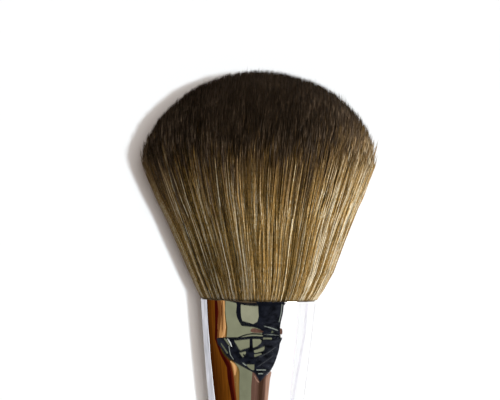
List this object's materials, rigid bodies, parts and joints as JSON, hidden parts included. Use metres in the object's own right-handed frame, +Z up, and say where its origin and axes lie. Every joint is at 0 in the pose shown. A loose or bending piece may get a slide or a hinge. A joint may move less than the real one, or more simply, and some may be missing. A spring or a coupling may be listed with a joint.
{
  "type": "powder brush",
  "caption": "Domed face powder brush with two-tone filaments, chromed conical ferrule and turned lacquered handle, lying on its side.",
  "frame": {"origin": "on the table, below the middle of the brush's box as it lies at rest on its bristles and the end of its handle", "axes": "+Z up from the table, +Y along the brush towards the bristle tips, +X across it"},
  "size_m": [0.0464, 0.2033, 0.0457],
  "materials": {
    "filaments": "tapered synthetic filaments, golden beige at the ferrule and dyed near-black brown at the tips",
    "thread": "waxed thread",
    "resin": "cured amber resin",
    "chrome": "mirror chrome plate on drawn tube",
    "glue": "cured handle glue",
    "lacquer": "gloss black lacquer on turned wood"
  },
  "bodies": {
    "root": {"bristle_head": "filaments", "knot_binding": "thread", "knot_resin": "resin", "ferrule": "chrome", "tenon_glue": "glue", "handle": "lacquer"}
  },
  "joints": []
}
